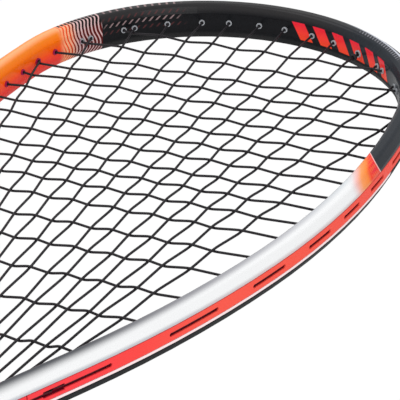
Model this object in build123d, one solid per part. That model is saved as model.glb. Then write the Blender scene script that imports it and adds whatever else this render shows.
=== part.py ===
from build123d import *
import math
import os

# Squash racket with a teardrop head, strung with two lengths of string.
# Millimetres. The strings lie in the plane z = 0, +Y runs from the butt to the tip of the head.
# "side" is +1 for the right half (+X) and -1 for the left half.

# ---- overall ----
overall_length = 685.0
slip = 0.05                      # clearance of glued and pressed-in pieces, per face
running = 0.3                    # clearance of the piece that slides, per face

# ---- head: inner wall from the tip down one side, tangent arcs and then a straight arm ----
head_arcs = [(94.3, 22.5), (86.2, 59.5), (370.0, 22.5), (493.0, 12.1)]     # radius, degrees
crotch_radius = 4.0
crotch_edge_round = 2.2
throat_bend_radius = 50.0

# ---- beam: section of the moulded tube ----
beam_width = 9.1
beam_height = 17.7
beam_side_flat = 9.6             # height of the flat on the inner and outer wall
beam_top_flat = 4.8              # width of the flat on the front and back
beam_edge_round = 2.2
beam_wall = 1.15
shaft_web = 1.1                  # wall shared by the two tubes in the shaft
channel_width = 6.4              # groove round the outside of the head for the strips
channel_depth = 2.3

# ---- grommet strips ----
strip_proud = 0.2
strip_edge_round = 0.6
strip_base = 0.5                 # under the string, in the bottom of a string slot
bumper_end = 146.0               # distances along the inner wall, from the tip
side_strip_end = 403.0
throat_strip_end = 467.5
strip_gap = 0.5
bumper_proud = 1.0
bumper_reach = 13.0              # height of the guard, across the outer wall
barrel_wall = 0.5
barrel_proud = 0.7
bore_clearance = 0.35            # round the string in a single barrel
pair_gap = 0.12                  # between two strings that share a barrel
slot_clearance = 0.25

# ---- string bed ----
string_diameter = 1.1
weave_gap = 0.08
first_cross = 28.7               # below the inner wall at the tip
cross_pitches = [18.6, 15.6, 12.6, 12.8, 14.2, 12.9, 13.0, 12.9, 13.7,
                 12.6, 13.2, 14.9, 18.2, 18.5, 21.5, 23.5, 28.0]
main_offsets = [6.3, 20.2, 32.4, 47.1, 60.7, 78.0, 99.3]     # from the axis, at the first cross
main_slopes = [0.007, 0.039, 0.056, 0.090, 0.114, 0.160, 0.211]
bend_inset = 1.3                 # a string turns into its barrel this far inside the wall
bend_radius = 1.3
exit_radius = 1.3
lane_pitch = 1.5                 # a loop that passes another hole runs this far beside the middle
lane_point_spacing = 5.0
near_frame = 5.0                 # a crossing this close to the wall leaves the weave to the main
string_sag = 0.12                # an outside loop's corners stand out, as its arcs pass inside them
arc_share = 0.20                 # share of the shorter run that an arc takes on each side
knot_distance = 2.8              # from the turn into the hole to the first ring of a knot
straight_turn = 1e-4             # radians; points in line along a straight stretch need no arc

# ---- handle ----
shaft_end_to_butt = 16.0
bare_shaft = 46.2                # from the collar up to where the throat opens
pallet_width = 30.0
pallet_thickness = 26.0
neck_drop_width = 3.8            # the neck is lower than the pallets by this on each side
neck_drop_thickness = 2.2        # and by this front and back
pallet_corner_cut = 6.5
pallet_neck_length = 12.0
pallet_taper_length = 14.0
pallet_end_to_butt = 8.0
pallet_split = 0.2
grip_thickness = 1.8
grip_end_to_butt = 4.5
tape_thickness = 0.3
tape_width = 9.0
cap_wall = 1.2
cap_skirt = 20.0
cap_width = 36.0
cap_thickness = 32.0
cap_round = 2.0
cap_flare_length = 6.0
collar_wall = 1.5
collar_length = 16.0
collar_overlap = 8.0
plug_length = 14.0
weight_length = 5.5
weight_width = 14.0
weight_thickness = 9.0
staple_wire = 0.9
staple_crown = 10.0
staple_leg = 5.0
staple_to_butt = 12.0

# ---- places that follow from the sizes above ----
tip_y = overall_length / 2
butt_y = -tip_y
inner_tip_y = tip_y - bumper_proud - beam_width
arm_angle = math.radians(sum(degrees for _, degrees in head_arcs) - 90)
arcs_length = sum(radius * math.radians(degrees) for radius, degrees in head_arcs)
shaft_tube_x = (beam_width - shaft_web) / 2
shaft_end_y = butt_y + shaft_end_to_butt
string_radius = string_diameter / 2
strip_bottom = beam_width - channel_depth + slip
strip_top = beam_width + strip_proud
string_lane = strip_bottom + strip_base + string_radius + 2 * slip
pair_lane = (string_diameter + pair_gap) / 2
weave_height = (string_diameter + weave_gap) / 2
single_bore = string_radius + bore_clearance
pair_bore = pair_lane + string_radius + pair_gap
cross_y = [inner_tip_y - first_cross - sum(cross_pitches[:i]) for i in range(len(cross_pitches) + 1)]
outermost = len(main_offsets)
shared_cross = 4                 # the outermost mains turn at the top in this cross's holes
tie_main = 4                     # the cross string's first end is tied to this main
pallet_neck_width = pallet_width - 2 * neck_drop_width
pallet_neck_thickness = pallet_thickness - 2 * neck_drop_thickness

os.makedirs("parts", exist_ok=True)


def save(solid, name):
    """Write one node, with its name as its label."""
    solid.label = name
    export_step(solid, f"parts/{name}.step")


def mirrored(shape):
    """The same shape on the other side of the head."""
    return mirror(shape, about=Plane.YZ)


# ---------------------------------------------------------------- head geometry
def wall_state(s):
    """Point and heading (turned from +X towards -Y) at s along the right inner wall."""
    x, y, heading = 0.0, inner_tip_y, 0.0
    for radius, degrees in head_arcs:
        turn = min(s / radius, math.radians(degrees))
        centre_x, centre_y = x - radius * math.sin(heading), y - radius * math.cos(heading)
        heading += turn
        x, y = centre_x + radius * math.sin(heading), centre_y + radius * math.cos(heading)
        s -= radius * turn
    return x + s * math.cos(heading), y - s * math.sin(heading), heading


def head_point(s, out, side=1, z=0.0):
    """Point at s along the inner wall and out of it by the given distance."""
    x, y, heading = wall_state(s)
    return Vector(side * (x + out * math.sin(heading)), y + out * math.cos(heading), z)


def section_plane(s, out):
    """Plane across the right side of the head: x outwards, y towards +Z."""
    heading = wall_state(s)[2]
    return Plane(origin=head_point(s, out), x_dir=(math.sin(heading), math.cos(heading), 0),
                 z_dir=(math.cos(heading), -math.sin(heading), 0))


def wall_edges(start, end, out):
    """Edges that follow the right side of the head from start to end, offset outwards."""
    edges, passed = [], 0.0
    for radius, degrees in head_arcs:
        length = radius * math.radians(degrees)
        low, high = max(start, passed), min(end, passed + length)
        if high > low:
            edges.append(Edge.make_three_point_arc(
                head_point(low, out), head_point((low + high) / 2, out), head_point(high, out)))
        passed += length
    if end > passed:
        edges.append(Edge.make_line(head_point(max(start, passed), out), head_point(end, out)))
    return edges


def along_wall(face, start, end, out):
    """Sweep a face, drawn with x outwards from the offset line, along the right side."""
    return sweep(section_plane(start, out) * face, path=Wire(wall_edges(start, end, out)))


def solve(function, low, high):
    """Root of a function that changes sign once between low and high."""
    rising = function(high) > function(low)
    for _ in range(60):
        middle = (low + high) / 2
        if (function(middle) > 0) == rising:
            high = middle
        else:
            low = middle
    return (low + high) / 2


# the arm's centre line meets the shaft tube's at a corner that is rounded by the throat bend
arm_start = head_point(arcs_length, beam_width / 2)
arm_corner_length = (arm_start.X - shaft_tube_x) / math.sin(arm_angle)
arm_length = arm_corner_length - throat_bend_radius * math.tan(arm_angle / 2)
arm_corner_y = arm_start.Y - arm_corner_length * math.cos(arm_angle)
apex_y = wall_state(arcs_length)[1] - wall_state(arcs_length)[0] / math.tan(arm_angle)
crotch_y = apex_y + crotch_radius / math.sin(arm_angle)
throat_end_y = arm_corner_y - throat_bend_radius * math.tan(arm_angle / 2)
grip_top_y = throat_end_y - bare_shaft - (collar_length - collar_overlap)
widest_s = solve(lambda s: wall_state(s)[2] - math.pi / 2, 0, arcs_length)


# ---------------------------------------------------------------- string holes
def main_line_x(k, y):
    return main_offsets[k - 1] + main_slopes[k - 1] * (y - cross_y[0])


def cross_hole(i):
    """Place along the wall of the hole of cross i."""
    return solve(lambda s: head_point(s, -bend_inset).Y - cross_y[i - 1], 0, arcs_length)


def main_hole(k, low, high):
    """Place along the wall where main k, counted from the axis, reaches it."""
    def gap(s):
        point = head_point(s, -bend_inset)
        return point.X - main_line_x(k, point.Y)
    return solve(gap, low, high)


# c = cross, t = top of a main, b = bottom of a main; the outermost main shares a cross's hole
wall_end = arcs_length + arm_corner_length
holes = {f"c{i}": cross_hole(i) for i in range(1, len(cross_y) + 1)}
holes |= {f"t{k}": main_hole(k, 0, widest_s) for k in range(1, outermost)}
holes |= {f"b{k}": main_hole(k, widest_s, wall_end) for k in range(1, outermost + 1)}
holes[f"t{outermost}"] = holes[f"c{shared_cross}"]

# strings that share a hole lie side by side: (hole, side, string) -> height in the hole
lanes = {}
for side in (-1, 1):
    lanes[f"c{shared_cross}", side, "cross"] = side * pair_lane
    lanes[f"t{outermost}", side, "main"] = -side * pair_lane
    lanes[f"b{outermost - 1}", side, "main"] = pair_lane
    lanes[f"b{outermost - 1}", side, "end"] = -pair_lane
lanes[f"t{tie_main}", 1, "main"] = -pair_lane
lanes[f"t{tie_main}", 1, "end"] = pair_lane
lanes[f"b{outermost}", 1, "main"] = -pair_lane
lanes[f"b{outermost}", 1, "end"] = pair_lane
pair_holes = {(name, side) for name, side, _ in lanes}


def near_wall(i, k):
    """True where cross i meets main k close to the frame."""
    return 0 < wall_state(holes[f"c{i}"])[0] - abs(main_x(k, cross_y[i - 1], 1)) < near_frame


def main_x(k, y, side):
    """A main runs straight between the points where it turns into its holes."""
    top, bottom = (head_point(holes[f"{end}{k}"], -bend_inset) for end in "tb")
    return side * (bottom.X + (top.X - bottom.X) * (y - bottom.Y) / (top.Y - bottom.Y))


def turn_point(name, side, string):
    """Where a string turns from the bed into its hole."""
    height = lanes.get((name, side, string), 0.0)
    if string == "cross" and not height:
        i = int(name[1:])
        beside = [k for k in range(1, outermost + 1) if crossed(i, k) and near_wall(i, k)]
        height = sum(-weave_side(i, k, side) * bore_clearance for k in beside)
    return head_point(holes[name], -bend_inset, side, height)


def weave_side(i, k, side):
    """+1 where main k passes over cross i, -1 where it passes under."""
    column = outermost + (k if side > 0 else 1 - k)
    return 1 if (i + column) % 2 == 0 else -1


def weave_share(i, k, string):
    """Distance of a string from z = 0 where main k crosses cross i."""
    cross_part = bore_clearance if near_wall(i, k) else weave_height
    return cross_part if string == "cross" else 2 * weave_height - cross_part


def crossed(i, k):
    """True where cross i and main k meet inside the head."""
    top, bottom = (head_point(holes[f"{end}{k}"], -bend_inset).Y for end in "tb")
    return bottom < cross_y[i - 1] < top - string_diameter


def crossings(string, number, side):
    """Points that a string passes between its two turns, from -X to +X or from top to bottom."""
    places = []
    if string == "main":
        for i in range(1, len(cross_y) + 1):
            if crossed(i, number):
                height = weave_side(i, number, side) * weave_share(i, number, string)
                places.append(Vector(main_x(number, cross_y[i - 1], side), cross_y[i - 1], height))
    else:
        for half, order in ((-1, range(outermost, 0, -1)), (1, range(1, outermost + 1))):
            for k in order:
                if crossed(number, k):
                    y = cross_y[number - 1]
                    height = -weave_side(number, k, half) * weave_share(number, k, string)
                    places.append(Vector(main_x(k, y, half), y, height))
    return places


# ---------------------------------------------------------------- string routes
def lifted(previous, point, following):
    """Raise a crossing so that the rounded route passes at the crossing's own height."""
    runs = sorted(((point - previous).length, (following - point).length))
    fall = 0.225 * (1 + runs[0] / runs[1])
    return Vector(point.X, point.Y, point.Z / (1 - fall * arc_share / 0.45))


def bed_run(string, first, last):
    """Route from one hole to the other across the bed, with the radius wanted at each point."""
    (name, side), (last_name, last_side) = first, last
    points = crossings(string, int(name[1:]), side)
    if name[0] == "b" or (string == "cross" and side > 0):
        points.reverse()
    ends = turn_point(name, side, string), turn_point(last_name, last_side, string)
    line = [ends[0], *points, ends[1]]
    raised = [lifted(line[n - 1], line[n], line[n + 1]) for n in range(1, len(line) - 1)]
    return [(ends[0], bend_radius), *((point, math.inf) for point in raised), (ends[1], bend_radius)]


def passed_holes(low, high):
    """Holes between two places along the wall."""
    return [place for place in holes.values() if low + 1 < place < high - 1]


def outside_loop(first, last, kind, last_kind):
    """Route in the channel from one hole to the next."""
    (name, side), (last_name, last_side) = first, last
    start, end = side * holes[name], last_side * holes[last_name]
    heights = [lanes.get((name, side, kind), 0.0), lanes.get((last_name, last_side, last_kind), 0.0)]
    lane = 0.0
    if side == last_side and passed_holes(*sorted((abs(start), abs(end)))):
        lane = math.copysign(lane_pitch, sum(heights) or -1)
    count = max(1, math.ceil(abs(end - start) / lane_point_spacing))
    route = [(head_point(abs(start), string_lane, side, heights[0]), exit_radius)]
    for n in range(1, count):
        place = start + (end - start) * n / count
        half = 1 if place > 0 else -1
        route.append((head_point(abs(place), string_lane + string_sag, half, lane), math.inf))
    route.append((head_point(abs(end), string_lane, last_side, heights[1]), exit_radius))
    return route


def string_route(string, stops, start_kind, end_kind):
    """Whole route of one string through its holes; it starts and ends with an outside loop."""
    def free_end(stop, kind):
        name, side = stop
        return head_point(holes[name], -barrel_proud - string_radius, side, lanes[name, side, kind])
    route = [(free_end(stops[0], start_kind), 0)]
    for n in range(0, len(stops) - 1, 2):
        kinds = (start_kind if n == 0 else string, end_kind if n == len(stops) - 2 else string)
        route += outside_loop(stops[n], stops[n + 1], *kinds)
        if n < len(stops) - 2:
            route += bed_run(string, stops[n + 1], stops[n + 2])
    return route + [(free_end(stops[-1], end_kind), 0)]


def rounded_edges(route):
    """Straight runs joined by tangent arcs, none longer than its share of a run."""
    points = [point for point, _ in route]
    edges, position = [], points[0]
    for n in range(1, len(points) - 1):
        back, ahead = points[n - 1] - points[n], points[n + 1] - points[n]
        half_turn = math.radians(180 - back.get_angle(ahead)) / 2
        if half_turn < straight_turn:
            continue
        reach = arc_share * min(back.length, ahead.length)
        reach = min(reach, route[n][1] * math.tan(half_turn))
        first, last = points[n] + back.normalized() * reach, points[n] + ahead.normalized() * reach
        radius = reach / math.tan(half_turn)
        bisector = (back.normalized() + ahead.normalized()).normalized()
        middle = points[n] + bisector * (radius / math.cos(half_turn) - radius)
        edges += [Edge.make_line(position, first), Edge.make_three_point_arc(first, middle, last)]
        position = last
    return edges + [Edge.make_line(position, points[-1])]


def string_tube(route, name):
    """Solid of a whole string, one round section swept along its route."""
    edges = rounded_edges(route)
    path = Wire(edges)
    start = Plane(origin=path.position_at(0), z_dir=path.tangent_at(0))
    tube = sweep(start * Circle(string_radius), path=path)
    length = sum(edge.length for edge in edges)
    print(f"{name}: length {length:.0f}, volume over section x length "
          f"{tube.volume / (length * math.pi * string_radius ** 2):.4f}")
    return tube


def main_stops():
    """Holes of the main string: it starts beside the left arm and ends beside the right one."""
    last = outermost
    left = [f"b{last - 1}", f"b{last}", f"t{last}"]
    for k in range(last - 1, 0, -2):
        left += [f"t{k}", f"b{k}", f"b{k - 1}", f"t{k - 1}"]
    return [(name, -1) for name in left] + [(name, 1) for name in reversed(left)]


def cross_stops():
    """Holes of the cross string, from the tip to the throat."""
    stops = [(f"t{tie_main}", 1)]
    for i in range(1, len(cross_y) + 1):
        side = 1 if i % 2 else -1
        stops += [(f"c{i}", side), (f"c{i}", -side)]
    return stops + [(f"b{outermost}", 1)]


# ---------------------------------------------------------------- frame
def beam_section(inset=0.0):
    """Faceted section of the tube, x outwards from its centre."""
    side, top = beam_side_flat / 2 - inset / 2, beam_top_flat / 2 - inset / 2
    half_width, half_height = beam_width / 2 - inset, beam_height / 2 - inset
    corners = [(half_width, side), (top, half_height)]
    corners += [(-x, z) for x, z in reversed(corners)]
    corners += [(-x, -z) for x, z in corners]
    outline = Polygon(*corners, align=None)
    return fillet(outline.vertices(), beam_edge_round - inset / 2)


def centred_rectangle(low_x, high_x, height):
    """Rectangle between two x values, centred on the x axis."""
    return Pos((low_x + high_x) / 2, 0) * Rectangle(high_x - low_x, height)


def cavity_section():
    """Hollow of the tube, with the wall of the channel left standing in it."""
    channel_bottom = beam_width / 2 - channel_depth - beam_wall
    return beam_section(beam_wall) - centred_rectangle(
        channel_bottom, beam_width, channel_width + 2 * beam_wall)


def tube_half(section):
    """Sweep a section along the centre line of the right half: head, arm, throat bend, shaft."""
    edges = wall_edges(0, arcs_length + arm_length, beam_width / 2)
    arm_end = edges[-1].position_at(1)
    heading = edges[-1].tangent_at(1)
    bend = JernArc(arm_end, heading, throat_bend_radius, math.degrees(arm_angle))
    edges += [bend, Edge.make_line(bend @ 1, ((bend @ 1).X, shaft_end_y, 0))]
    return sweep(section_plane(0, beam_width / 2) * section, path=Wire(edges))


def crotch_filler():
    """Solid web between the two tubes, from the crotch of the throat to the end of the shaft."""
    contact_y = crotch_y - crotch_radius * math.sin(arm_angle)
    contact_x = crotch_radius * math.cos(arm_angle) + beam_width / 2 * math.cos(arm_angle)
    right = [(shaft_tube_x, shaft_end_y), (shaft_tube_x, arm_corner_y), (contact_x, contact_y)]
    outline = Polygon(*right, *[(-x, y) for x, y in reversed(right)], align=None)
    web = extrude(outline, amount=beam_height / 2, both=True)
    profile = centred_rectangle(0, crotch_radius, beam_height)
    rim = Rectangle(2 * crotch_edge_round, 2 * crotch_edge_round)
    rim -= Pos(crotch_edge_round, -crotch_edge_round) * Circle(crotch_edge_round)
    rim = Pos(crotch_radius, beam_height / 2) * rim
    profile += rim + mirror(rim, about=Plane.XZ)
    cutter = revolve(Plane.XZ * profile, axis=Axis.Z)
    return web - Pos(0, crotch_y, 0) * cutter


def hole_cylinder(name, side, radius, low, high):
    """Cylinder on the axis of a string hole, between two distances from the inner wall."""
    start, end = head_point(holes[name], low, side), head_point(holes[name], high, side)
    plane = Plane(origin=start, z_dir=end - start)
    return plane * Cylinder(radius, high - low, align=(Align.CENTER, Align.CENTER, Align.MIN))


def bore_radius(name, side):
    return pair_bore if (name, side) in pair_holes else single_bore


# each hole once, because the outermost main's top is in a cross's hole
drilled = [name for name in holes if name != f"t{outermost}"]


def make_frame():
    outer = tube_half(beam_section())
    cavity = tube_half(cavity_section())
    groove = centred_rectangle(-channel_depth, bumper_proud, channel_width)
    channel = along_wall(groove, 0, throat_strip_end + slip, beam_width)
    body = outer + mirrored(outer) + crotch_filler()
    body -= [cavity, mirrored(cavity), channel, mirrored(channel)]
    return body - [hole_cylinder(name, side, bore_radius(name, side) + barrel_wall + slip,
                                 -beam_width, beam_width) for side in (-1, 1) for name in drilled]


# ---------------------------------------------------------------- grommet strips
def strip_face():
    face = centred_rectangle(strip_bottom - beam_width, strip_proud, channel_width - 2 * slip)
    outer_corners = face.vertices().sort_by(Axis.X)[-2:]
    return fillet(outer_corners, strip_edge_round)


def guard_face():
    """Cap of the bumper: a skin on the outer side of the beam."""
    skin = offset(beam_section(), amount=bumper_proud) - offset(beam_section(), amount=slip)
    window = centred_rectangle(0, beam_width, bumper_reach)
    return Pos(-beam_width / 2, 0) * (skin & window)


def slots():
    """Cutters for the string slots: one along each outside loop, wide where strings lie side by side."""
    cutters = []
    for stops in (main_stops(), cross_stops()):
        for ends in zip(stops[::2], stops[1::2]):
            sides = {side for _, side in ends}
            low, high = sorted(holes[name] for name, _ in ends)
            low = 0.0 if len(sides) == 2 else low
            passing = len(sides) == 1 and passed_holes(low, high)
            stretches = [(low, high, 2 * lane_pitch if passing else 0.0)]
            for name, _ in set(ends) & pair_holes:
                stretches.append((max(low, holes[name] - lane_point_spacing),
                                  min(high, holes[name] + lane_point_spacing), 2 * pair_lane))
            for start, end, extra in stretches:
                width = string_diameter + 2 * slot_clearance + extra
                depth = centred_rectangle(strip_bottom + strip_base - beam_width, 3 * bumper_proud, width)
                cutter = along_wall(depth, start, end, beam_width)
                cutters += [cutter if side > 0 else mirrored(cutter) for side in sides]
    return cutters


def barrels(names):
    """Tubes that line the string holes, and the bores through them."""
    tubes = [hole_cylinder(name, side, bore_radius(name, side) + barrel_wall, -barrel_proud,
                           strip_bottom + strip_base / 2) for name, side in names]
    bores = [hole_cylinder(name, side, bore_radius(name, side), -2 * barrel_proud,
                           strip_top + 3 * bumper_proud) for name, side in names]
    return tubes, bores


def holes_between(low, high, side):
    return [(name, side) for name in drilled if low < holes[name] < high]


def make_strip(low, high, side, cutters):
    strip = along_wall(strip_face(), low, high, beam_width)
    strip = strip if side > 0 else mirrored(strip)
    tubes, bores = barrels(holes_between(low, high, side))
    return (strip + tubes) - bores - cutters


def make_bumper(cutters):
    half = along_wall(strip_face(), 0, bumper_end, beam_width)
    half += along_wall(guard_face(), 0, bumper_end, beam_width)
    names = [hole for side in (-1, 1) for hole in holes_between(0, bumper_end, side)]
    tubes, bores = barrels(names)
    core = centred_rectangle(-slip, slip * 2, channel_width - 2 * slip)
    bridge = along_wall(core, 0, bumper_end, beam_width)
    return (half + bridge + mirrored(half + bridge) + tubes) - bores - cutters


# ---------------------------------------------------------------- knots
def make_knot(name, side, string):
    """Two turns of string round the string that leaves the same hole."""
    run = bed_run(string, (name, side), (("b" if name[0] == "t" else "t") + name[1:], side))
    start, ahead = run[0][0], run[1][0]
    direction = (ahead - start).normalized()
    ring_radius = string_diameter + slip
    knot = None
    for turn in (0, 1):
        centre = start + direction * (knot_distance + turn * string_diameter * 0.9)
        ring = Plane(origin=centre, z_dir=direction) * Torus(ring_radius, string_radius)
        knot = ring if knot is None else knot + ring
    return knot


# ---------------------------------------------------------------- handle
def cross_plane(y):
    """Plane across the handle at a height."""
    return Plane(origin=(0, y, 0), x_dir=(1, 0, 0), z_dir=(0, 1, 0))


def octagon(width, thickness, y, corner_cut=None, rounding=1.5):
    """Handle section: a rectangle with cut and softened corners."""
    cut = corner_cut or pallet_corner_cut * min(width / pallet_width, 1)
    half_w, half_t = width / 2, thickness / 2
    right = [(half_w, half_t - cut * 0.75), (half_w - cut, half_t)]
    corners = right + [(-x, z) for x, z in reversed(right)]
    corners += [(-x, -z) for x, z in corners]
    face = fillet(Polygon(*corners, align=None).vertices(), rounding)
    return cross_plane(y) * face


def shaft_section(growth, y):
    """Outline of the shaft, grown by a clearance."""
    width = 2 * shaft_tube_x + beam_width + 2 * growth
    face = RectangleRounded(width, beam_height + 2 * growth, beam_edge_round)
    return cross_plane(y) * face


neck_top_y = grip_top_y - slip
neck_bottom_y = neck_top_y - pallet_neck_length
taper_bottom_y = neck_bottom_y - pallet_taper_length
pallet_end_y = butt_y + pallet_end_to_butt
skirt_top_y = butt_y + cap_skirt


def handle_form(growth, bottom, top):
    """Outside of the pallets, grown all round: full section, taper and neck."""
    full = (pallet_width + 2 * growth, pallet_thickness + 2 * growth)
    neck = (pallet_neck_width + 2 * growth, pallet_neck_thickness + 2 * growth)
    body = extrude(octagon(*full, bottom), amount=taper_bottom_y - bottom)
    taper = loft([octagon(*full, taper_bottom_y), octagon(*neck, neck_bottom_y)], ruled=True)
    return body + taper + extrude(octagon(*neck, neck_bottom_y), amount=top - neck_bottom_y)


def slab(low_y, high_y, low_z, high_z, width=60.0):
    """Block that keeps one stretch of the handle."""
    return Pos(0, (low_y + high_y) / 2, (low_z + high_z) / 2) * Box(width, high_y - low_y, high_z - low_z)


def make_pallet(front):
    """One half of the handle, bonded to the shaft, thinned where the cap's skirt covers it."""
    body = handle_form(0, pallet_end_y, neck_top_y)
    body -= extrude(shaft_section(slip, pallet_end_y - 1), amount=grip_top_y - pallet_end_y + 2)
    drop = 2 * (cap_wall + slip)
    skirt = extrude(octagon(pallet_width - drop, pallet_thickness - drop, pallet_end_y - 1),
                    amount=skirt_top_y + slip - pallet_end_y + 1)
    body -= slab(pallet_end_y - 1, skirt_top_y + slip, -30, 30) - skirt
    keep = (pallet_split / 2, 30) if front else (-30, -pallet_split / 2)
    half = body & slab(butt_y, grip_top_y, *keep)
    return half - staple_slots()


def staple_shape(growth, side):
    """A U of wire on the skirt of the cap, with its legs in the pallet."""
    wire, half = staple_wire + 2 * growth, staple_crown / 2
    surface = pallet_thickness / 2
    y = butt_y + staple_to_butt
    crown = Pos(0, y, side * (surface - staple_wire / 2)) * Box(staple_crown + 2 * growth, wire, wire)
    legs = [Pos(x, y, side * (surface - staple_leg / 2)) * Box(wire, wire, staple_leg + 2 * growth)
            for x in (-half + staple_wire / 2, half - staple_wire / 2)]
    return crown + legs


def staple_slots():
    return [staple_shape(slip, side) for side in (-1, 1)]


def make_cap():
    """Butt cap: a flared, closed end and a skirt under the grip."""
    lip_y = butt_y + cap_flare_length
    end = loft([octagon(cap_width, cap_thickness, butt_y + cap_round),
                octagon(pallet_width, pallet_thickness, lip_y + grip_thickness)], ruled=True)
    end += loft([octagon(cap_width - 2 * cap_round, cap_thickness - 2 * cap_round, butt_y),
                 octagon(cap_width, cap_thickness, butt_y + cap_round)], ruled=True)
    end += extrude(octagon(pallet_width, pallet_thickness, butt_y + cap_round),
                   amount=cap_skirt - cap_round)
    wall = 2 * cap_wall
    bore = octagon(pallet_width - wall, pallet_thickness - wall, pallet_end_y - slip)
    end -= extrude(bore, amount=cap_skirt)
    end -= extrude(octagon(weight_width + wall, weight_thickness + wall, butt_y + 2 * cap_round,
                           corner_cut=2.0, rounding=0.8), amount=cap_skirt)
    return end - staple_slots()


def make_grip():
    """Cushion grip: a sleeve over the pallets and the cap's skirt."""
    bottom = butt_y + grip_end_to_butt
    outer = handle_form(grip_thickness, bottom, grip_top_y - slip)
    return outer - handle_form(slip, bottom - 1, grip_top_y + 1) - make_cap_envelope()


def make_cap_envelope():
    """Space of the cap's flare, which the grip's lower edge butts against."""
    gap, lip_y = 2 * slip, butt_y + cap_flare_length + grip_thickness + slip
    return loft([octagon(cap_width + gap, cap_thickness + gap, butt_y + cap_round),
                 octagon(pallet_width + gap, pallet_thickness + gap, lip_y)], ruled=True)


def neck_ring(inner_growth, outer_growth, low_y, high_y):
    """Ring on the neck of the grip."""
    def solid(growth):
        face = octagon(pallet_neck_width + 2 * growth, pallet_neck_thickness + 2 * growth, low_y)
        return extrude(face, amount=high_y - low_y)
    return solid(outer_growth) - solid(inner_growth)


def make_collar():
    """Rubber collar: hugs the shaft above the grip, its skirt covers the tape's upper edge."""
    bore = grip_thickness + slip + tape_thickness + running
    bottom, step = grip_top_y - collar_overlap, grip_top_y + running
    top = bottom + collar_length
    skirt = neck_ring(bore, bore + collar_wall, bottom, step)
    width = pallet_neck_width + 2 * (bore + collar_wall)
    thickness = pallet_neck_thickness + 2 * (bore + collar_wall)
    growth = 2 * (running + collar_wall)
    mouth = octagon(2 * shaft_tube_x + beam_width + growth, beam_height + growth, top, corner_cut=3.0)
    shoulder = loft([octagon(width, thickness, step), mouth], ruled=True)
    return skirt + (shoulder - extrude(shaft_section(running, step - 1), amount=collar_length))


def make_plugs():
    """Foam plugs in the open ends of the two shaft tubes."""
    tube = tube_half(cavity_section())
    plug = tube & slab(shaft_end_y, shaft_end_y + plug_length, -30, 30)
    return plug + mirrored(plug)


def make_weight():
    """Balance weight bonded to the end of the shaft, inside the butt cap."""
    block = Box(weight_width, weight_length, weight_thickness)
    block = fillet(block.edges().filter_by(Axis.Y), 1.0)
    return Pos(0, shaft_end_y - slip - weight_length / 2, 0) * block


# ---------------------------------------------------------------- build
save(make_frame(), "frame")
slot_cutters = slots()
save(make_bumper(slot_cutters), "head_bumper")
strips = {"side_strip": (bumper_end + strip_gap, side_strip_end),
          "throat_strip": (side_strip_end + strip_gap, throat_strip_end)}
for strip_name, (strip_low, strip_high) in strips.items():
    for strip_side, side_name in ((-1, "left"), (1, "right")):
        save(make_strip(strip_low, strip_high, strip_side, slot_cutters), f"{strip_name}_{side_name}")

save(string_tube(string_route("main", main_stops(), "end", "end"), "main_string"), "main_string")
save(string_tube(string_route("cross", cross_stops(), "end", "end"), "cross_string"), "cross_string")
knots = [make_knot(f"b{outermost - 1}", -1, "main"), make_knot(f"b{outermost - 1}", 1, "main"),
         make_knot(f"b{outermost}", 1, "main"), make_knot(f"t{tie_main}", 1, "main")]
save(Compound(children=knots), "string_knots")

save(make_pallet(True), "handle_pallet_front")
save(make_pallet(False), "handle_pallet_back")
save(make_plugs(), "shaft_plugs")
save(make_weight(), "balance_weight")
save(make_cap(), "butt_cap")
save(Compound(children=[staple_shape(0, side) for side in (-1, 1)]), "butt_staples")
save(make_grip(), "cushion_grip")
save(neck_ring(grip_thickness + slip, grip_thickness + slip + tape_thickness, grip_top_y - tape_width,
               grip_top_y), "grip_end_tape")
save(make_collar(), "grip_collar")
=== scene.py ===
import math

import bpy
from mathutils import Matrix, Vector


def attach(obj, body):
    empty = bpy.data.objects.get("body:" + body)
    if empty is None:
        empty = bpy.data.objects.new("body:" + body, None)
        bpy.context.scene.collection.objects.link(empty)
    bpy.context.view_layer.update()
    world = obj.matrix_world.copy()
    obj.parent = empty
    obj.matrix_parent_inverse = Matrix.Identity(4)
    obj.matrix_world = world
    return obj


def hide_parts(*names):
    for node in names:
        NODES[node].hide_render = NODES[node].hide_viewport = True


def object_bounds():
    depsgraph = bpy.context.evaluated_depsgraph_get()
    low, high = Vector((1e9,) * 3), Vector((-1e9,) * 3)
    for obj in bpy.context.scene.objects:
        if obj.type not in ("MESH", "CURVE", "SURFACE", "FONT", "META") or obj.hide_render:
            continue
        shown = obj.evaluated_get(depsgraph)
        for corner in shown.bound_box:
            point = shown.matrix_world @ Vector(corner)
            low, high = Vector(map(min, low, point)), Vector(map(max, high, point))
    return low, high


bl_info = {
    "name": "Squash Racket Finish",
    "version": (1, 0, 0),
    "blender": (4, 5, 0),
    "location": "View3D > Sidebar > Racket",
    "description": "Lacquer, strings, grommets, grip and studio for a teardrop squash racket",
    "category": "Object",
}

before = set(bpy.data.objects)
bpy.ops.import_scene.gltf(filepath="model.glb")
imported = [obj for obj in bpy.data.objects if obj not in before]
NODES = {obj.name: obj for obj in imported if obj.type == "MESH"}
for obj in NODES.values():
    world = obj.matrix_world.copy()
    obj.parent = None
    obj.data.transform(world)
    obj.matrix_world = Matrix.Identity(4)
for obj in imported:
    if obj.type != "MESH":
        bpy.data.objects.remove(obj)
CAD_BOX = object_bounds()
MM = 0.001                       # lengths are in millimetres where nothing else is said


def span(name, axis):
    """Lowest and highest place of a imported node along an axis."""
    node = NODES[name]
    places = [(node.matrix_world @ Vector(corner))[axis] / MM for corner in node.bound_box]
    return min(places), max(places)


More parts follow.
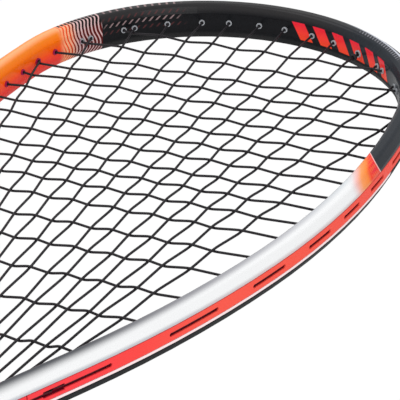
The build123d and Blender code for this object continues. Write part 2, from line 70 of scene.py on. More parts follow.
# ---------------------------------------------------------------- measures of the head
# inner wall from the tip down one side: tangent arcs (radius, degrees), then a straight arm
WALL_ARCS = [(94.3, 22.5), (86.2, 59.5), (370.0, 22.5), (493.0, 12.1)]
BEAM_WIDTH = 9.1
INNER_TIP = span("frame", 1)[1] - BEAM_WIDTH
FACE = span("frame", 2)[1]       # height of the front face
FLAT_START, FLAT_END = 2.2, 6.9  # flat of the front face, out from the inner wall
INNER_HALF = 5.0                 # paint on the inner half of the beam ends this far out

# ---------------------------------------------------------------- where the paint changes
# lengths along the inner wall from the tip, and one height
ORANGE_START = 85.0              # left arm: the carbon ends
STRIPES_START, STRIPES_END = 86.0, 108.0
RED_START = 170.0                # right arm: the carbon ends
SILVER_START = 190.0
SLATE_HEIGHT = -3.0              # behind this the outer wall is slate
BUMPER_END = 147.0


def wall_arcs():
    """Centre, first heading, turn and radius of each arc, then the straight arm's start and heading."""
    x, y, heading, arcs = 0.0, INNER_TIP, 0.0, []
    for radius, degrees in WALL_ARCS:
        turn = math.radians(degrees)
        centre = (x - radius * math.sin(heading), y - radius * math.cos(heading))
        arcs.append((centre, heading, turn, radius))
        heading += turn
        x, y = centre[0] + radius * math.sin(heading), centre[1] + radius * math.cos(heading)
    return arcs, (x, y), heading


def linear(colour):
    """Scene-linear colour of a hex text. A colour picked in the panel is scene-linear already."""
    if not isinstance(colour, str):
        return tuple(colour)
    values = [int(colour[n:n + 2], 16) / 255 for n in (1, 3, 5)]
    return tuple(v / 12.92 if v <= 0.04045 else ((v + 0.055) / 1.055) ** 2.4 for v in values) + (1.0,)


# ---------------------------------------------------------------- material building
class Value:
    """A number socket of a node tree. Arithmetic on it adds Math nodes."""

    def __init__(self, owner, socket):
        self.owner, self.socket = owner, socket

    def math(self, operation, *others):
        return self.owner.math(operation, self, *others)

    def __add__(self, other):
        return self.math("ADD", other)

    def __sub__(self, other):
        return self.math("SUBTRACT", other)

    def __rsub__(self, other):
        return self.owner.math("SUBTRACT", other, self)

    def __mul__(self, other):
        return self.math("MULTIPLY", other)

    def __truediv__(self, other):
        return self.math("DIVIDE", other)

    def __gt__(self, other):
        return self.math("GREATER_THAN", other)

    def __lt__(self, other):
        return self.math("LESS_THAN", other)

    def __abs__(self):
        return self.math("ABSOLUTE")

    def sine(self):
        return self.math("SINE")

    def fract(self):
        return self.math("FRACT")

    def root(self):
        return self.math("SQRT")

    def clamped(self, low, high):
        return self.math("MAXIMUM", low).math("MINIMUM", high)

    def over(self, low, high):
        """0 below low, 1 above high and a smooth rise between; high may be the lower of the two."""
        if high < low:
            return 1 - self.over(high, low)
        return self.owner.socket("ShaderNodeMapRange", {"Value": self, "From Min": low, "From Max": high},
                                 "Result", interpolation_type="SMOOTHSTEP")

    def within(self, low, high, soft):
        """1 between low and high, 0 outside, with both edges soft."""
        return self.over(low - soft, low + soft) * self.over(high + soft, high - soft)


class Expressions:
    """Builds a node tree from expressions."""

    def __init__(self, tree):
        self.tree = tree
        tree.nodes.clear()

    def add(self, kind, inputs=(), stops=(), **settings):
        """A node with its settings and ramp stops set first, then its sockets' values or links."""
        node = self.tree.nodes.new(kind)
        for key, value in settings.items():
            setattr(node, key, value)
        if stops:
            elements = node.color_ramp.elements
            while len(elements) < len(stops):
                elements.new(0.5)
            for element, (position, colour) in zip(elements, stops):
                element.position, element.color = position, linear(colour)
        for key, value in dict(inputs).items():
            if isinstance(value, (Value, bpy.types.NodeSocket)):
                self.link(value, node.inputs[key])
            else:
                node.inputs[key].default_value = linear(value) if isinstance(value, str) else value
        return node

    def link(self, value, socket):
        self.tree.links.new(value.socket if isinstance(value, Value) else value, socket)

    def socket(self, kind, inputs, output, **settings):
        return Value(self, self.add(kind, inputs, **settings).outputs[output])

    def math(self, operation, *values):
        return self.socket("ShaderNodeMath", dict(enumerate(values)), 0, operation=operation)

    def mix(self, factor, first, second):
        """Colour from first to second as the factor goes from 0 to 1."""
        return self.add("ShaderNodeMix", {0: factor, 6: first, 7: second}, data_type="RGBA").outputs[2]

    def ramp(self, value, *places):
        """Colour that runs through (value, colour) places, from the lowest to the highest."""
        low, high = places[0][0], places[-1][0]
        stops = [((place - low) / (high - low), colour) for place, colour in places]
        return self.add("ShaderNodeValToRGB", {"Fac": (value - low) / (high - low)}, stops).outputs["Color"]


class Finish(Expressions):
    """A material with one Principled shader."""

    def __init__(self, name, **constants):
        self.material = bpy.data.materials.new(name)
        self.material.use_nodes = True
        super().__init__(self.material.node_tree)
        self.output = self.add("ShaderNodeOutputMaterial")
        self.shader = self.add("ShaderNodeBsdfPrincipled",
                               {key.replace("_", " "): value for key, value in constants.items()})
        self.link(self.shader.outputs[0], self.output.inputs["Surface"])

    def place(self):
        """Object coordinates."""
        coordinates = self.add("ShaderNodeTexCoord").outputs["Object"]
        parts = self.add("ShaderNodeSeparateXYZ", {0: coordinates}).outputs
        return tuple(Value(self, part) / MM for part in parts)

    def head_place(self, x, y):
        """Length along the inner wall from the tip and distance out of it, for either side of the head."""
        arcs, (end_x, end_y), heading = wall_arcs()
        across = abs(x)
        length, out = 0.0, 0.0
        for (centre_x, centre_y), first, turn, radius in arcs:
            dx, dy = across - centre_x, y - centre_y
            angle = self.math("ARCTAN2", dx, dy) - first
            length = angle.clamped(0, turn) * radius + length
            inside = (angle > 0) * (angle < turn)
            out = ((dx * dx + dy * dy).root() - radius) * inside + out
        dx, dy = across - end_x, y - end_y
        along = dx * math.cos(heading) - dy * math.sin(heading)
        length = along.math("MAXIMUM", 0) + length
        out = (dx * math.sin(heading) + dy * math.cos(heading)) * (along > 0) + out
        return length, out

    def noise(self, scale, detail=3.0):
        coordinates = self.add("ShaderNodeTexCoord").outputs["Object"]
        return self.socket("ShaderNodeTexNoise", {"Vector": coordinates, "Scale": scale, "Detail": detail}, 0)

    def bump(self, height, distance, strength):
        """Raise the surface by the height, 0 to 1, times the distance in metres."""
        node = self.add("ShaderNodeBump", {"Height": height, "Distance": distance, "Strength": strength})
        self.link(node.outputs[0], self.shader.inputs["Normal"])

    def finish(self, **sockets):
        """Join what varies to the shader's sockets."""
        for key, value in sockets.items():
            self.link(value, self.shader.inputs[key.replace("_", " ")])
        return self.material


def dress(name, material):
    """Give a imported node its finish."""
    node = NODES[name]
    node.data.materials.clear()
    node.data.materials.append(material)


# ---------------------------------------------------------------- finishes of the frame
def orange_arm(f, look, s, out, z):
    """Left arm: orange bands with a pale painted highlight along the top's inner edge, with wavy stripes
    where they begin.
    """
    flat = FLAT_END - FLAT_START
    down = (FACE - z) * (out < INNER_HALF)
    depth = down - (out - FLAT_START).clamped(0, flat)
    # painted highlight: the pale stops from -3.9 to 0 over the top's inner edge stand in for light on the
    # gloss; the rest runs from orange to coral paint
    bands = f.ramp(depth, (-flat, look.orange), (-3.9, "#ff9338"), (-2.6, look.peach_highlight), (0, "#ffa064"),
                   (1.3, "#ff8820"), (3, "#ff7a0a"), (5, "#fc6a00"), (7, "#ff5e08"), (FACE, "#fd4a10"),
                   (12, "#fc4034"), (15, look.coral))
    pitch = look.stripe_pitch / MM
    wave_length, wave_height = 16.194, 1.3
    wave = (down * (2 * math.pi / wave_length)).sine() * wave_height
    stripe = ((s - wave) * (2 * math.pi / pitch)).sine() * 0.5 + 0.5
    fade = s.over(STRIPES_END, STRIPES_START)
    pale = f.mix(fade.over(0, 0.5), "#ffb084", "#d9b6b6")
    dark = f.mix(z.over(7, 4), "#0c0708", "#5c0f0e")
    dark = f.mix(fade.over(0.02, 0.35), "#f04a10", dark)
    striped = f.mix(s.over(STRIPES_END + 3, STRIPES_END - 2), bands, pale)
    gap = (stripe + fade * 0.35).over(0.52, 0.76) * s.over(STRIPES_END + 2, STRIPES_END - 2)
    striped = f.mix(gap, striped, dark)
    dot = abs((s / pitch).fract() - 0.5).over(0.34, 0.26)
    dot = dot * out.within(3.9, 7.4, 0.3) * s.within(STRIPES_START, STRIPES_END - 0.5, 0.2)
    return f.mix(dot, striped, "#140f12")


def silver_arm(f, look, slanted, s, out, z):
    """Right arm below the carbon: red with dots, orange, pale pink, then silver with a grey inner band of
    painted reflection.
    """
    # painted reflection: grey band on the inner part of the top, darker towards the throat, standing in for
    # the dark surroundings it reflects
    band = f.ramp(s, (207, "#dbe0e4"), (250, "#c4c5ca"), (310, "#98989e"), (375, "#4a4c52"),
                  (450, look.silver_dark_reflection))
    band_width = (s * 0.0235 - 1.4).clamped(3.5, 8.5)
    outer_edge = f.mix(s.over(260, 360), "#dccdcf", "#c9ccd2")
    from_flat = out - FLAT_START + FACE - z
    silver = f.mix((from_flat / band_width).over(1.0, 0.15), look.silver, band)
    silver = f.mix(z.over(5.2, 3.6) * (out > INNER_HALF), silver, outer_edge)

    checker_pitch = 1.496
    rate = math.pi / checker_pitch
    checker = ((s + out) * rate).sine() * ((s - out) * rate).sine() > 0.05
    flame = f.ramp(slanted - (out - 4).math("MAXIMUM", 0),
                   (170, "#ea2236"), (174, "#f5391f"), (177.5, "#fb8a34"), (182.5, "#fb9c58"),
                   (187.5, "#f3bcb5"), (193, "#e6dfe2"))
    flame = f.mix(checker * slanted.within(RED_START + 1, RED_START + 8, 1.5) * 0.35, flame, "#ff8a38")
    return f.mix(slanted.over(SILVER_START, SILVER_START + 8), flame, silver)


def carbon_graphics(f, painted, s, out, z, left, right):
    """Fine dashes on the carbon beside the stripes; teeth and a pale painted highlight on the other side's
    outer edge.
    """
    dash_pitch, tooth_pitch = 3.4, 1.9
    dash = ((s + z * 0.95) / dash_pitch).fract().within(0.34, 0.62, 0.06) * left
    front_row = z.within(8.4, 9.0, 0.1) * out.within(3.4, 7.2, 0.3)
    inner_row = z.within(2.6, 4.6, 0.2) * (out < 2.0)
    painted = f.mix(dash * (front_row + inner_row) * s.within(46, 83, 3) * 0.75, painted, "#a98f90")
    upper_row = z.within(5.7, 7.2, 0.2) * (out < 3)
    middle_row = z.within(-0.8, 0.9, 0.2) * (out < 2)
    painted = f.mix(dash * (upper_row + middle_row) * s.within(44, 84, 3) * 0.6, painted, "#5e2f31")
    outer_row = out.within(3.2, 5.4, 0.2) * (z > 4)
    tooth = ((s + out * 0.6) / tooth_pitch).fract().within(0.30, 0.66, 0.08) * right
    painted = f.mix(tooth * outer_row * s.within(48, 82, 3) * 0.75, painted, "#8a8a94")
    # painted highlight: pale line along the outer top edge right of the tip, standing in for the bright
    # reflection at a grazing view
    painted_rim_highlight = out.over(5.4, 5.9) * s.within(44, 128, 16) * right * z.over(4.2, 4.8)
    return f.mix(painted_rim_highlight * 0.95, painted, "#d3d6e2")


def wall_bars(f, painted, s, out, z, right):
    """Plain slanted bars on the inner wall beside the tip."""
    bar_pitch, slant = 11.5, 0.55
    place = s + z * slant
    bars = (place / bar_pitch).fract().within(0.14, 0.74, 0.02)
    bars = bars * place.within(12, 81, 0.5) * z.within(-3.6, 5.0, 0.15) * (out < 2.4) * right
    return f.mix(bars, painted, f.ramp(z, (-4, "#ff4a26"), (5, "#f0243c")))


def frame_lacquer(look):
    """Paint and clear coat of the frame."""
    f = Finish("frame_lacquer", Coat_Roughness=0.08, Coat_IOR=1.5, IOR=1.45, Specular_IOR_Level=0.12)
    x, y, z = f.place()
    s, out = f.head_place(x, y)
    left, right = x < 0, x > 0
    grain = f.noise(900, 2.0)
    black = f.mix(grain, look.carbon, "#1a1b1f")
    # painted highlight: lighter grey along the front face and the lower edge of the carbon, standing in for
    # its soft gloss reflection
    painted_sheen = (z.over(4.6, 7.5) + z.over(-4, -7) * 0.5) * 0.75
    black = f.mix(painted_sheen, black, "#333233")
    blue = f.mix(grain, "#1e2329", "#2b3037")
    carbon = f.mix(right * s.over(18, 60), black, blue)

    behind = z.over(SLATE_HEIGHT + 0.1, SLATE_HEIGHT - 0.1)
    slate = f.mix(grain, look.slate, "#14171b")
    pale_line = z.within(SLATE_HEIGHT - 1.3, SLATE_HEIGHT - 0.1, 0.06) * (out > 8)

    # the right arm's colours meet on a slant: the further out and up, the further down the arm
    slant_out, slant_up, slant_height = 1.484, 0.923, 4.8
    slanted = s - out * slant_out - (z - slant_height) * slant_up
    right_arm = f.mix(slanted.over(RED_START, RED_START + 0.3), carbon, "#f3b9b4")
    silver = silver_arm(f, look, slanted, s, out, z)
    right_arm = f.mix(slanted.over(RED_START + 0.7, RED_START + 1), right_arm, silver)
    right_back = f.mix(pale_line * s.over(RED_START - 2, RED_START + 2), slate, "#ffe9ea")
    right_arm = f.mix(behind, right_arm, right_back)

    orange = orange_arm(f, look, s, out, z)
    left_arm = f.mix(s.over(ORANGE_START, ORANGE_START - 0.4), orange, carbon)
    left_back = f.mix(pale_line * s.over(ORANGE_START - 1, ORANGE_START + 1), slate, "#ffe9ea")
    left_arm = f.mix(behind * (out > INNER_HALF), left_arm, left_back)

    painted = f.mix(left, right_arm, left_arm)
    painted = carbon_graphics(f, painted, s, out, z, left, right)
    painted = wall_bars(f, painted, s, out, z, right)

    f.bump(f.noise(420, 4.0) * 0.6 + f.noise(2600, 2.0) * 0.1, 0.00003, 0.3)
    front_right = right * (1 - behind)
    metallic = slanted.over(SILVER_START + 1, SILVER_START + 5) * front_right * 0.15
    rough = f.noise(60) * 0.10 + 0.22 + behind * 0.3
    coat = f.noise(30, 2.0) * 0.03 + 0.03 + slanted.over(RED_START - 2, RED_START + 10) * front_right * 0.12
    return f.finish(Base_Color=painted, Roughness=rough, Metallic=metallic, Coat_Weight=coat)


# ---------------------------------------------------------------- finishes of the strips and strings
def strip_nylon(look):
    """Moulded nylon of the grommet strips, with painted shade: darker along both edges and dark red in the
    string slots.
    """
    f = Finish("strip_nylon", IOR=1.5, Specular_IOR_Level=0.15)
    x, y, z = f.place()
    s, out = f.head_place(x, y)
    base = f.ramp(s, (146, "#ff5040"), (255, "#ff5846"), (318, look.strip), (350, "#ff4744"),
                  (378, "#ff3f48"), (466, "#f03a46"))
    base = f.mix(f.noise(300, 4.0) * 0.25, base, "#f04a40")
    # painted shadow: both edges of the strip are darker, for the shadow in its gap against the frame
    edges = abs(z).over(2.75, 3.0)
    base = f.mix(edges * 0.6, base, "#8c3238")
    # painted shade: dark red on the strip deep inside the string slots
    slots = out.over(9.0, 8.4)
    base = f.mix(slots, base, "#7d1026")
    barrel_ends = out.over(2.0, 0.2)
    base = f.mix(barrel_ends, base, f.mix(x < 0, "#a9acb1", look.eyelet))
    f.bump(f.noise(1500), 0.00003, 0.4)
    return f.finish(Base_Color=base, Roughness=f.noise(200) * 0.2 + 0.32)


def bumper_nylon(look):
    """Black nylon of the bumper, ribbed on its outside."""
    f = Finish("bumper_nylon", IOR=1.5, Specular_IOR_Level=0.15)
    x, y, _ = f.place()
    s, out = f.head_place(x, y)
    rib_pitch = 4.0
    base = f.mix(f.noise(260, 4.0), "#131417", "#212327")
    barrel_ends = out.over(2.0, 0.2)
    base = f.mix(barrel_ends, base, f.mix(s.over(97, 99) * (x < 0), "#a6a9ae", look.eyelet))
    rib = abs((s / rib_pitch).fract() - 0.5).over(0.36, 0.44) * out.over(9.3, 9.6)
    # painted shade: the grooves between the ribs are darkened
    base = f.mix(rib * 0.5, base, "#08080a")
    f.bump(f.noise(1500) * 0.3 - rib, 0.00012, 0.7)
    return f.finish(Base_Color=base, Roughness=f.noise(200) * 0.2 + 0.36)


def string_finish():
    """Black string with a fine twist, tinted red where it lies in the slots of the strips."""
    f = Finish("black_string", IOR=1.5, Specular_IOR_Level=0.15)
    x, y, z = f.place()
    s, out = f.head_place(x, y)
    base = f.mix(f.noise(1200, 2.0), "#1c1a1d", "#2e2b2f")
    in_slot = out.within(8.3, 11, 0.3) * s.over(BUMPER_END - 1, BUMPER_END + 1) * (y < 236)
    base = f.mix(in_slot * 0.7, base, "#5a1822")
    # painted shade: the string is darker where it runs into the eyelets
    in_eyelet = out.within(-1.5, 1.0, 0.5)
    base = f.mix(in_eyelet * 0.3, base, "#0a0a0b")
    twist = ((x + y * 1.3 + z * 2) * 2.2).sine() * 0.5 + 0.5
    f.bump(twist * 0.5 + f.noise(2500, 2.0) * 0.5, 0.00002, 0.5)
    return f.finish(Base_Color=base, Roughness=f.noise(700, 2.0) * 0.2 + 0.34)


# ---------------------------------------------------------------- finishes of the handle
def grip_finish(pitch):
    """Soft grip with rows of small holes and a darker seam along each turn of the tape; the dark in the holes
    and the seam is painted shade.
    """
    f = Finish("grip_cushion", IOR=1.45, Specular_IOR_Level=0.25)
    x, y, z = f.place()
    round_handle = f.math("ARCTAN2", x, z) / (2 * math.pi)
    turns = y / pitch - round_handle
    across = turns.fract() * pitch
    row_pitch, holes_per_turn = 3.1, 33
    rows = across / row_pitch
    row = rows.fract() - 0.5
    step = (round_handle * holes_per_turn + rows.math("FLOOR") * 0.5).fract() - 0.5
    hole = (row * row + step * step).root().over(0.20, 0.13)
    seam = abs(turns.fract() - 0.5).over(0.44, 0.49)
    base = f.mix(f.noise(500, 4.0), "#131315", "#242427")
    # painted shade: the holes are near black
    base = f.mix(hole, base, "#050506")
    # painted shade: darker in the groove where two turns of the tape meet
    base = f.mix(seam * 0.5, base, "#0a0a0b")
    f.bump(f.noise(1800, 4.0) * 0.3 - hole, 0.0003, 0.6)
    return f.finish(Base_Color=base, Roughness=f.noise(240) * 0.2 + 0.55 - hole * 0.1)


def ringed_finish(name, first, second, pitch, depth):
    """Moulded rubber or plastic with fine ribs round the handle; the depth is in metres."""
    f = Finish(name, IOR=1.45, Specular_IOR_Level=0.25)
    _, y, _ = f.place()
    rib = (y * (2 * math.pi / pitch)).sine() * 0.5 + 0.5
    grain = f.noise(800, 4.0)
    base = f.mix(grain, first, second)
    # painted shade: the troughs between the ribs are darkened
    base = f.mix(rib.over(0.3, 0.0) * 0.6, base, "#050506")
    f.bump(rib * 0.8 + f.noise(2200) * 0.2, depth, 0.8)
    return f.finish(Base_Color=base, Roughness=grain * 0.2 + 0.48)


def plain_finish(name, first, second, scale, roughness, depth, **constants):
    """A fine two-tone grain with a slight texture; the depth is in metres."""
    f = Finish(name, **constants)
    grain = f.noise(scale, 4.0)
    f.bump(f.noise(scale * 2.5), depth, 0.6)
    return f.finish(Base_Color=f.mix(grain, first, second), Roughness=grain * 0.2 + roughness)


# ---------------------------------------------------------------- what a user may change
class RacketLook(bpy.types.PropertyGroup):
    """Colours of the racket"""
    orange: bpy.props.FloatVectorProperty(
        name="Orange", description="Main colour of the left arm",
        default=linear("#ff7c15"), size=4, min=0, max=1, subtype="COLOR")
    # painted highlight: pale colour of the band along the top's inner edge of the left arm
    peach_highlight: bpy.props.FloatVectorProperty(
        name="Peach", description="Pale band on the left arm",
        default=linear("#fdb177"), size=4, min=0, max=1, subtype="COLOR")
    coral: bpy.props.FloatVectorProperty(
        name="Coral", description="Lower edge of the left arm",
        default=linear("#f24038"), size=4, min=0, max=1, subtype="COLOR")
    silver: bpy.props.FloatVectorProperty(
        name="Silver", description="Main colour of the right arm",
        default=linear("#f3f4f5"), size=4, min=0, max=1, subtype="COLOR")
    # painted reflection: darkest grey of the inner band near the throat
    silver_dark_reflection: bpy.props.FloatVectorProperty(
        name="Silver shade", description="Inner edge of the right arm near the throat",
        default=linear("#3e4046"), size=4, min=0, max=1, subtype="COLOR")
    carbon: bpy.props.FloatVectorProperty(
        name="Carbon", description="Black round the tip",
        default=linear("#0c0c0e"), size=4, min=0, max=1, subtype="COLOR")
    slate: bpy.props.FloatVectorProperty(
        name="Slate", description="Back half of the outer wall",
        default=linear("#0b0d10"), size=4, min=0, max=1, subtype="COLOR")
    strip: bpy.props.FloatVectorProperty(
        name="Strip", description="Grommet strips",
        default=linear("#ff5a4b"), size=4, min=0, max=1, subtype="COLOR")
    eyelet: bpy.props.FloatVectorProperty(
        name="Eyelet", description="Eyelets on the left arm",
        default=linear("#a01e50"), size=4, min=0, max=1, subtype="COLOR")
    stripe_pitch: bpy.props.FloatProperty(
        name="Stripe pitch", description="Distance between the wavy stripes",
        default=1.95 * MM, min=0.5 * MM, max=10 * MM, unit="LENGTH", subtype="DISTANCE")


class WrapLook(bpy.types.PropertyGroup):
    """Sizes of the wound grip"""
    pitch: bpy.props.FloatProperty(
        name="Pitch", description="Advance of the tape in one turn",
        default=22 * MM, min=10 * MM, max=40 * MM, unit="LENGTH", subtype="DISTANCE")
    thickness: bpy.props.FloatProperty(
        name="Thickness", description="Thickness of the tape, of which a little under half is sunk in",
        default=0.9 * MM, min=0.3 * MM, max=2 * MM, unit="LENGTH", subtype="DISTANCE")
    groove: bpy.props.FloatProperty(
        name="Groove", description="Gap between two turns",
        default=0.9 * MM, min=0.2 * MM, max=4 * MM, unit="LENGTH", subtype="DISTANCE")
    edge: bpy.props.FloatProperty(
        name="Edge", description="Rounding of the tape's edges",
        default=0.22 * MM, min=0.05 * MM, max=0.4 * MM, unit="LENGTH", subtype="DISTANCE")


class StudioLook(bpy.types.PropertyGroup):
    """Camera, light and floor"""
    camera_place: bpy.props.FloatVectorProperty(
        name="Camera", description="Place of the camera",
        default=(0.4145, -0.7102, 0.4989), unit="LENGTH", subtype="TRANSLATION")
    camera_aim: bpy.props.FloatVectorProperty(
        name="Aim", description="Place that the camera points at",
        default=(0.0379, 0.1678, 0.0), unit="LENGTH", subtype="TRANSLATION")
    camera_roll: bpy.props.FloatProperty(
        name="Roll", description="Turn of the camera about its line of sight",
        default=-0.019, unit="ROTATION", subtype="ANGLE")
    camera_lens: bpy.props.FloatProperty(
        name="Lens", description="Focal length in millimetres", default=229.3, min=1)
    camera_shift: bpy.props.FloatVectorProperty(
        name="Shift", description="Shift of the picture across and up", default=(-0.0321, -0.0285), size=2)
    world_strength: bpy.props.FloatProperty(
        name="World", description="Light from all round", default=0.82, min=0)
    key_power: bpy.props.FloatProperty(
        name="Key lamp", description="Main soft lamp", default=9.0, min=0, unit="POWER")
    floor_drop: bpy.props.FloatProperty(
        name="Floor drop", description="Height of the racket over the floor",
        default=0.45, unit="LENGTH", subtype="DISTANCE")


# ---------------------------------------------------------------- operators
class RACKET_OT_frame(bpy.types.Operator):
    """Lacquer of the frame and nylon of the strips and bumper"""
    bl_idname = "racket.frame"
    bl_label = "Finish frame"

    def execute(self, context):
        look = context.scene.racket_look
        dress("frame", frame_lacquer(look))
        nylon = strip_nylon(look)
        for name in ("side_strip_left", "side_strip_right", "throat_strip_left", "throat_strip_right"):
            dress(name, nylon)
        dress("head_bumper", bumper_nylon(look))
        return {"FINISHED"}


class RACKET_OT_strings(bpy.types.Operator):
    """Finish of the strings and their knots"""
    bl_idname = "racket.strings"
    bl_label = "Finish strings"

    def execute(self, context):
        finish = string_finish()
        for name in ("main_string", "cross_string", "string_knots"):
            dress(name, finish)
        return {"FINISHED"}


class RACKET_OT_handle(bpy.types.Operator):
    """Finish of the handle's pieces"""
    bl_idname = "racket.handle"
    bl_label = "Finish handle"

    def execute(self, context):
        foam = plain_finish("pallet_foam", "#b9a98c", "#d6c8ab", 500, 0.7, 0.0001)
        for name in ("handle_pallet_front", "handle_pallet_back"):
            dress(name, foam)
        dress("shaft_plugs", plain_finish("plug_foam", "#4a4a4c", "#606064", 700, 0.75, 0.0001))
        weight = plain_finish("weight_alloy", "#8a8c8f", "#a2a4a6", 300, 0.4, 0.00005, Metallic=1.0)
        dress("balance_weight", weight)
        dress("butt_cap", ringed_finish("cap_plastic", "#131416", "#1e1f22", 2.4, 0.0001))
        wire = plain_finish("staple_wire", "#b8babd", "#d0d2d4", 900, 0.25, 0.00001, Metallic=1.0)
        dress("butt_staples", wire)
        dress("grip_end_tape", plain_finish("end_tape", "#1b1b1e", "#26262a", 400, 0.3, 0.00003))
        dress("grip_collar", ringed_finish("collar_rubber", "#141517", "#202124", 2.0, 0.0002))
        return {"FINISHED"}


def edge_chain(points):
    """A mesh of one chain of edges, from a grid whose other side is removed."""
    bpy.ops.object.select_all(action="DESELECT")
    bpy.ops.mesh.primitive_grid_add(x_subdivisions=1, y_subdivisions=len(points) - 1, size=2)
    chain = bpy.context.object
    bpy.ops.object.mode_set(mode="EDIT")
    bpy.ops.mesh.select_mode(type="VERT")
    bpy.ops.mesh.select_all(action="DESELECT")
    bpy.ops.object.mode_set(mode="OBJECT")
    for vertex in chain.data.vertices:
        vertex.select = vertex.co.x > 0
    bpy.ops.object.mode_set(mode="EDIT")
    bpy.ops.mesh.delete(type="VERT")
    bpy.ops.object.mode_set(mode="OBJECT")
    for vertex, point in zip(sorted(chain.data.vertices, key=lambda v: v.co.y), points):
        vertex.co = Vector(point) * MM
    return chain


def modify(obj, kind, **settings):
    """Add a modifier and apply it."""
    bpy.context.view_layer.objects.active = obj
    modifier = obj.modifiers.new(kind.title(), kind)
    for key, value in settings.items():
        setattr(modifier, key, value)
    bpy.ops.object.modifier_apply(modifier=modifier.name)


def cut(obj, y, outward):
    """Cut off what lies beyond a plane square to the handle, and close the end."""
    bpy.context.view_layer.objects.active = obj
    bpy.ops.object.mode_set(mode="EDIT")
    bpy.ops.mesh.select_all(action="SELECT")
    bpy.ops.mesh.bisect(plane_co=(0, y * MM, 0), plane_no=(0, outward, 0), use_fill=True, clear_outer=True)
    bpy.ops.object.mode_set(mode="OBJECT")


def wind_tape(look, sleeve, low, high):
    """Tape wound in a wide spiral, laid along the handle, drawn onto the sleeve and cut at both ends."""
    pitch, groove = look.pitch / MM, look.groove / MM
    radius, steps_across, steps_round = 20.0, 10, 96
    lead = 1.5 * pitch
    rise = (pitch - groove) / steps_across
    tape = edge_chain([(radius, 0, low - lead + rise * n) for n in range(steps_across + 1)])
    modify(tape, "SCREW", axis="Z", screw_offset=look.pitch, iterations=math.ceil((high - low) / pitch) + 2,
           steps=steps_round, render_steps=steps_round, use_merge_vertices=False)
    bpy.ops.transform.rotate(value=math.radians(90), orient_axis="X", orient_type="GLOBAL",
                             center_override=(0, 0, 0))
    bpy.ops.object.transform_apply(rotation=True, location=True, scale=True)
    modify(tape, "SHRINKWRAP", target=sleeve, wrap_method="NEAREST_SURFACEPOINT", wrap_mode="ABOVE_SURFACE",
           offset=0.1 * MM)
    modify(tape, "SOLIDIFY", thickness=look.thickness, offset=0.0)
    cut(tape, low + 0.4, -1)
    cut(tape, high - 0.15, 1)
    modify(tape, "BEVEL", width=look.edge, segments=2, limit_method="ANGLE", angle_limit=math.radians(50))
    bpy.ops.object.mode_set(mode="EDIT")
    bpy.ops.mesh.select_all(action="SELECT")
    bpy.ops.mesh.normals_make_consistent(inside=False)
    bpy.ops.object.mode_set(mode="OBJECT")
    bpy.ops.object.shade_smooth_by_angle(angle=math.radians(40))
    return tape


class RACKET_OT_wrap(bpy.types.Operator):
    """Grip tape wound round the handle in a spiral"""
    bl_idname = "racket.wrap"
    bl_label = "Wrap grip"

    def execute(self, context):
        look = context.scene.racket_wrap
        sleeve = NODES["cushion_grip"]
        tape = wind_tape(look, sleeve, span("cushion_grip", 1)[0], span("grip_end_tape", 1)[0])
        if not tape.data.polygons:
            raise RuntimeError("nothing is left of the grip tape")
        tape.name = "grip_wrap"

        core = sleeve.copy()
        core.data = sleeve.data.copy()
        context.collection.objects.link(core)
        bpy.ops.object.select_all(action="DESELECT")
        core.select_set(True)
        tape.select_set(True)
        context.view_layer.objects.active = tape
        bpy.ops.object.join()
        tape.data.materials.clear()
        tape.data.materials.append(grip_finish(look.pitch / MM))
        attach(tape, "racket")
        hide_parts("cushion_grip")
        return {"FINISHED"}


def aim(obj, target, roll=0.0):
    """Point a camera or lamp at a place, with world Z up and then a roll."""
    forward = (Vector(target) - obj.location).normalized()
    right = forward.cross(Vector((0, 0, 1))).normalized()
    up = right.cross(forward)
    c, s = math.cos(roll), math.sin(roll)
    right, up = right * c + up * s, up * c - right * s
    obj.matrix_world = Matrix.Translation(obj.location) @ Matrix(
        ((right.x, up.x, -forward.x), (right.y, up.y, -forward.y), (right.z, up.z, -forward.z))).to_4x4()


def soft_lamp(name, place, size, power):
    """A square lamp that shines on the head."""
    bpy.ops.object.light_add(type="AREA", location=place)
    lamp = bpy.context.object
    lamp.name = name
    lamp.data.size, lamp.data.energy = size, power
    aim(lamp, (0, 0.15, 0))


def floor_finish():
    """Pale floor that the camera sees as white."""
    f = Finish("pale_floor", Roughness=0.9)
    f.finish(Base_Color=f.mix(f.noise(3, 2.0), "#cfcfcf", "#d6d6d6"))
    seen = Value(f, f.add("ShaderNodeLightPath").outputs["Is Camera Ray"])
    glow = f.add("ShaderNodeEmission", {"Color": (1, 1, 1, 1), "Strength": 1.03}).outputs[0]
    mixed = f.add("ShaderNodeMixShader", {0: seen * 0.95, 1: f.shader.outputs[0], 2: glow}).outputs[0]
    f.link(mixed, f.output.inputs["Surface"])
    return f.material


def world_light(strength):
    """Plain light from all round, white where the camera looks at it or through something clear."""
    world = bpy.data.worlds.new("studio")
    world.use_nodes = True
    w = Expressions(world.node_tree)
    path = w.add("ShaderNodeLightPath").outputs
    seen = w.math("MAXIMUM", path["Is Camera Ray"], path["Is Transmission Ray"])
    light = w.socket("ShaderNodeMapRange", {"Value": seen, "To Min": strength, "To Max": 1.0}, "Result")
    background = w.add("ShaderNodeBackground", {"Color": (1, 1, 1, 1), "Strength": light}).outputs[0]
    w.add("ShaderNodeOutputWorld", {"Surface": background})
    bpy.context.scene.world = world


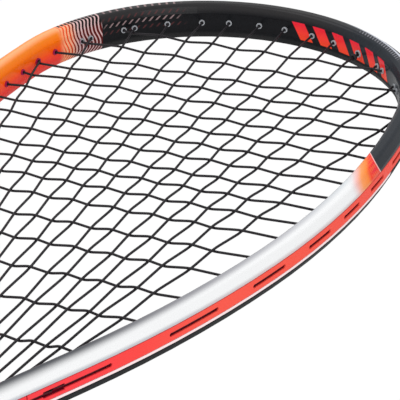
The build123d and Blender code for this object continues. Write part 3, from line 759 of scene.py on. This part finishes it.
class RACKET_OT_stage(bpy.types.Operator):
    """Camera, lamps, floor and world"""
    bl_idname = "racket.stage"
    bl_label = "Build stage"

    def execute(self, context):
        look = context.scene.racket_studio
        low = CAD_BOX[0]
        bpy.ops.object.camera_add(location=look.camera_place)
        camera = context.object
        camera.data.sensor_width = 36
        camera.data.lens = look.camera_lens
        camera.data.shift_x, camera.data.shift_y = look.camera_shift
        camera.data.clip_end = 50
        aim(camera, look.camera_aim, look.camera_roll)
        context.scene.camera = camera

        soft_lamp("key", (-0.9, 0.2, 1.5), 1.2, look.key_power)
        soft_lamp("side", (0.95, -0.95, 0.55), 0.9, look.key_power * 0.75)

        bpy.ops.object.select_all(action="DESELECT")
        bpy.ops.mesh.primitive_plane_add(size=12, location=(0, 0, low.z - look.floor_drop))
        floor = context.object
        floor.name = "floor"
        floor.data.materials.append(floor_finish())
        bpy.ops.object.transform_apply(location=True)
        world_light(look.world_strength)
        context.scene.view_settings.view_transform = "Standard"
        return {"FINISHED"}


class RACKET_PT_panel(bpy.types.Panel):
    """Sizes, colours and the steps that build the racket"""
    bl_label = "Racket"
    bl_idname = "RACKET_PT_panel"
    bl_space_type = "VIEW_3D"
    bl_region_type = "UI"
    bl_category = "Racket"

    def draw(self, context):
        for settings in (context.scene.racket_look, context.scene.racket_wrap, context.scene.racket_studio):
            box = self.layout.box()
            for name in settings.bl_rna.properties.keys():
                if name not in ("rna_type", "name"):
                    box.prop(settings, name)
        for step in STEPS:
            self.layout.operator(step.bl_idname)


STEPS = (RACKET_OT_frame, RACKET_OT_strings, RACKET_OT_handle, RACKET_OT_wrap, RACKET_OT_stage)
CLASSES = (RacketLook, WrapLook, StudioLook, *STEPS, RACKET_PT_panel)


def register():
    for cls in CLASSES:
        bpy.utils.register_class(cls)
    bpy.types.Scene.racket_look = bpy.props.PointerProperty(type=RacketLook)
    bpy.types.Scene.racket_wrap = bpy.props.PointerProperty(type=WrapLook)
    bpy.types.Scene.racket_studio = bpy.props.PointerProperty(type=StudioLook)


def unregister():
    del bpy.types.Scene.racket_look, bpy.types.Scene.racket_wrap, bpy.types.Scene.racket_studio
    for cls in reversed(CLASSES):
        bpy.utils.unregister_class(cls)


def main():
    register()
    bpy.ops.racket.frame()
    bpy.ops.racket.strings()
    bpy.ops.racket.handle()
    bpy.ops.racket.wrap()
    bpy.ops.racket.stage()


if __name__ == "__main__":
    main()
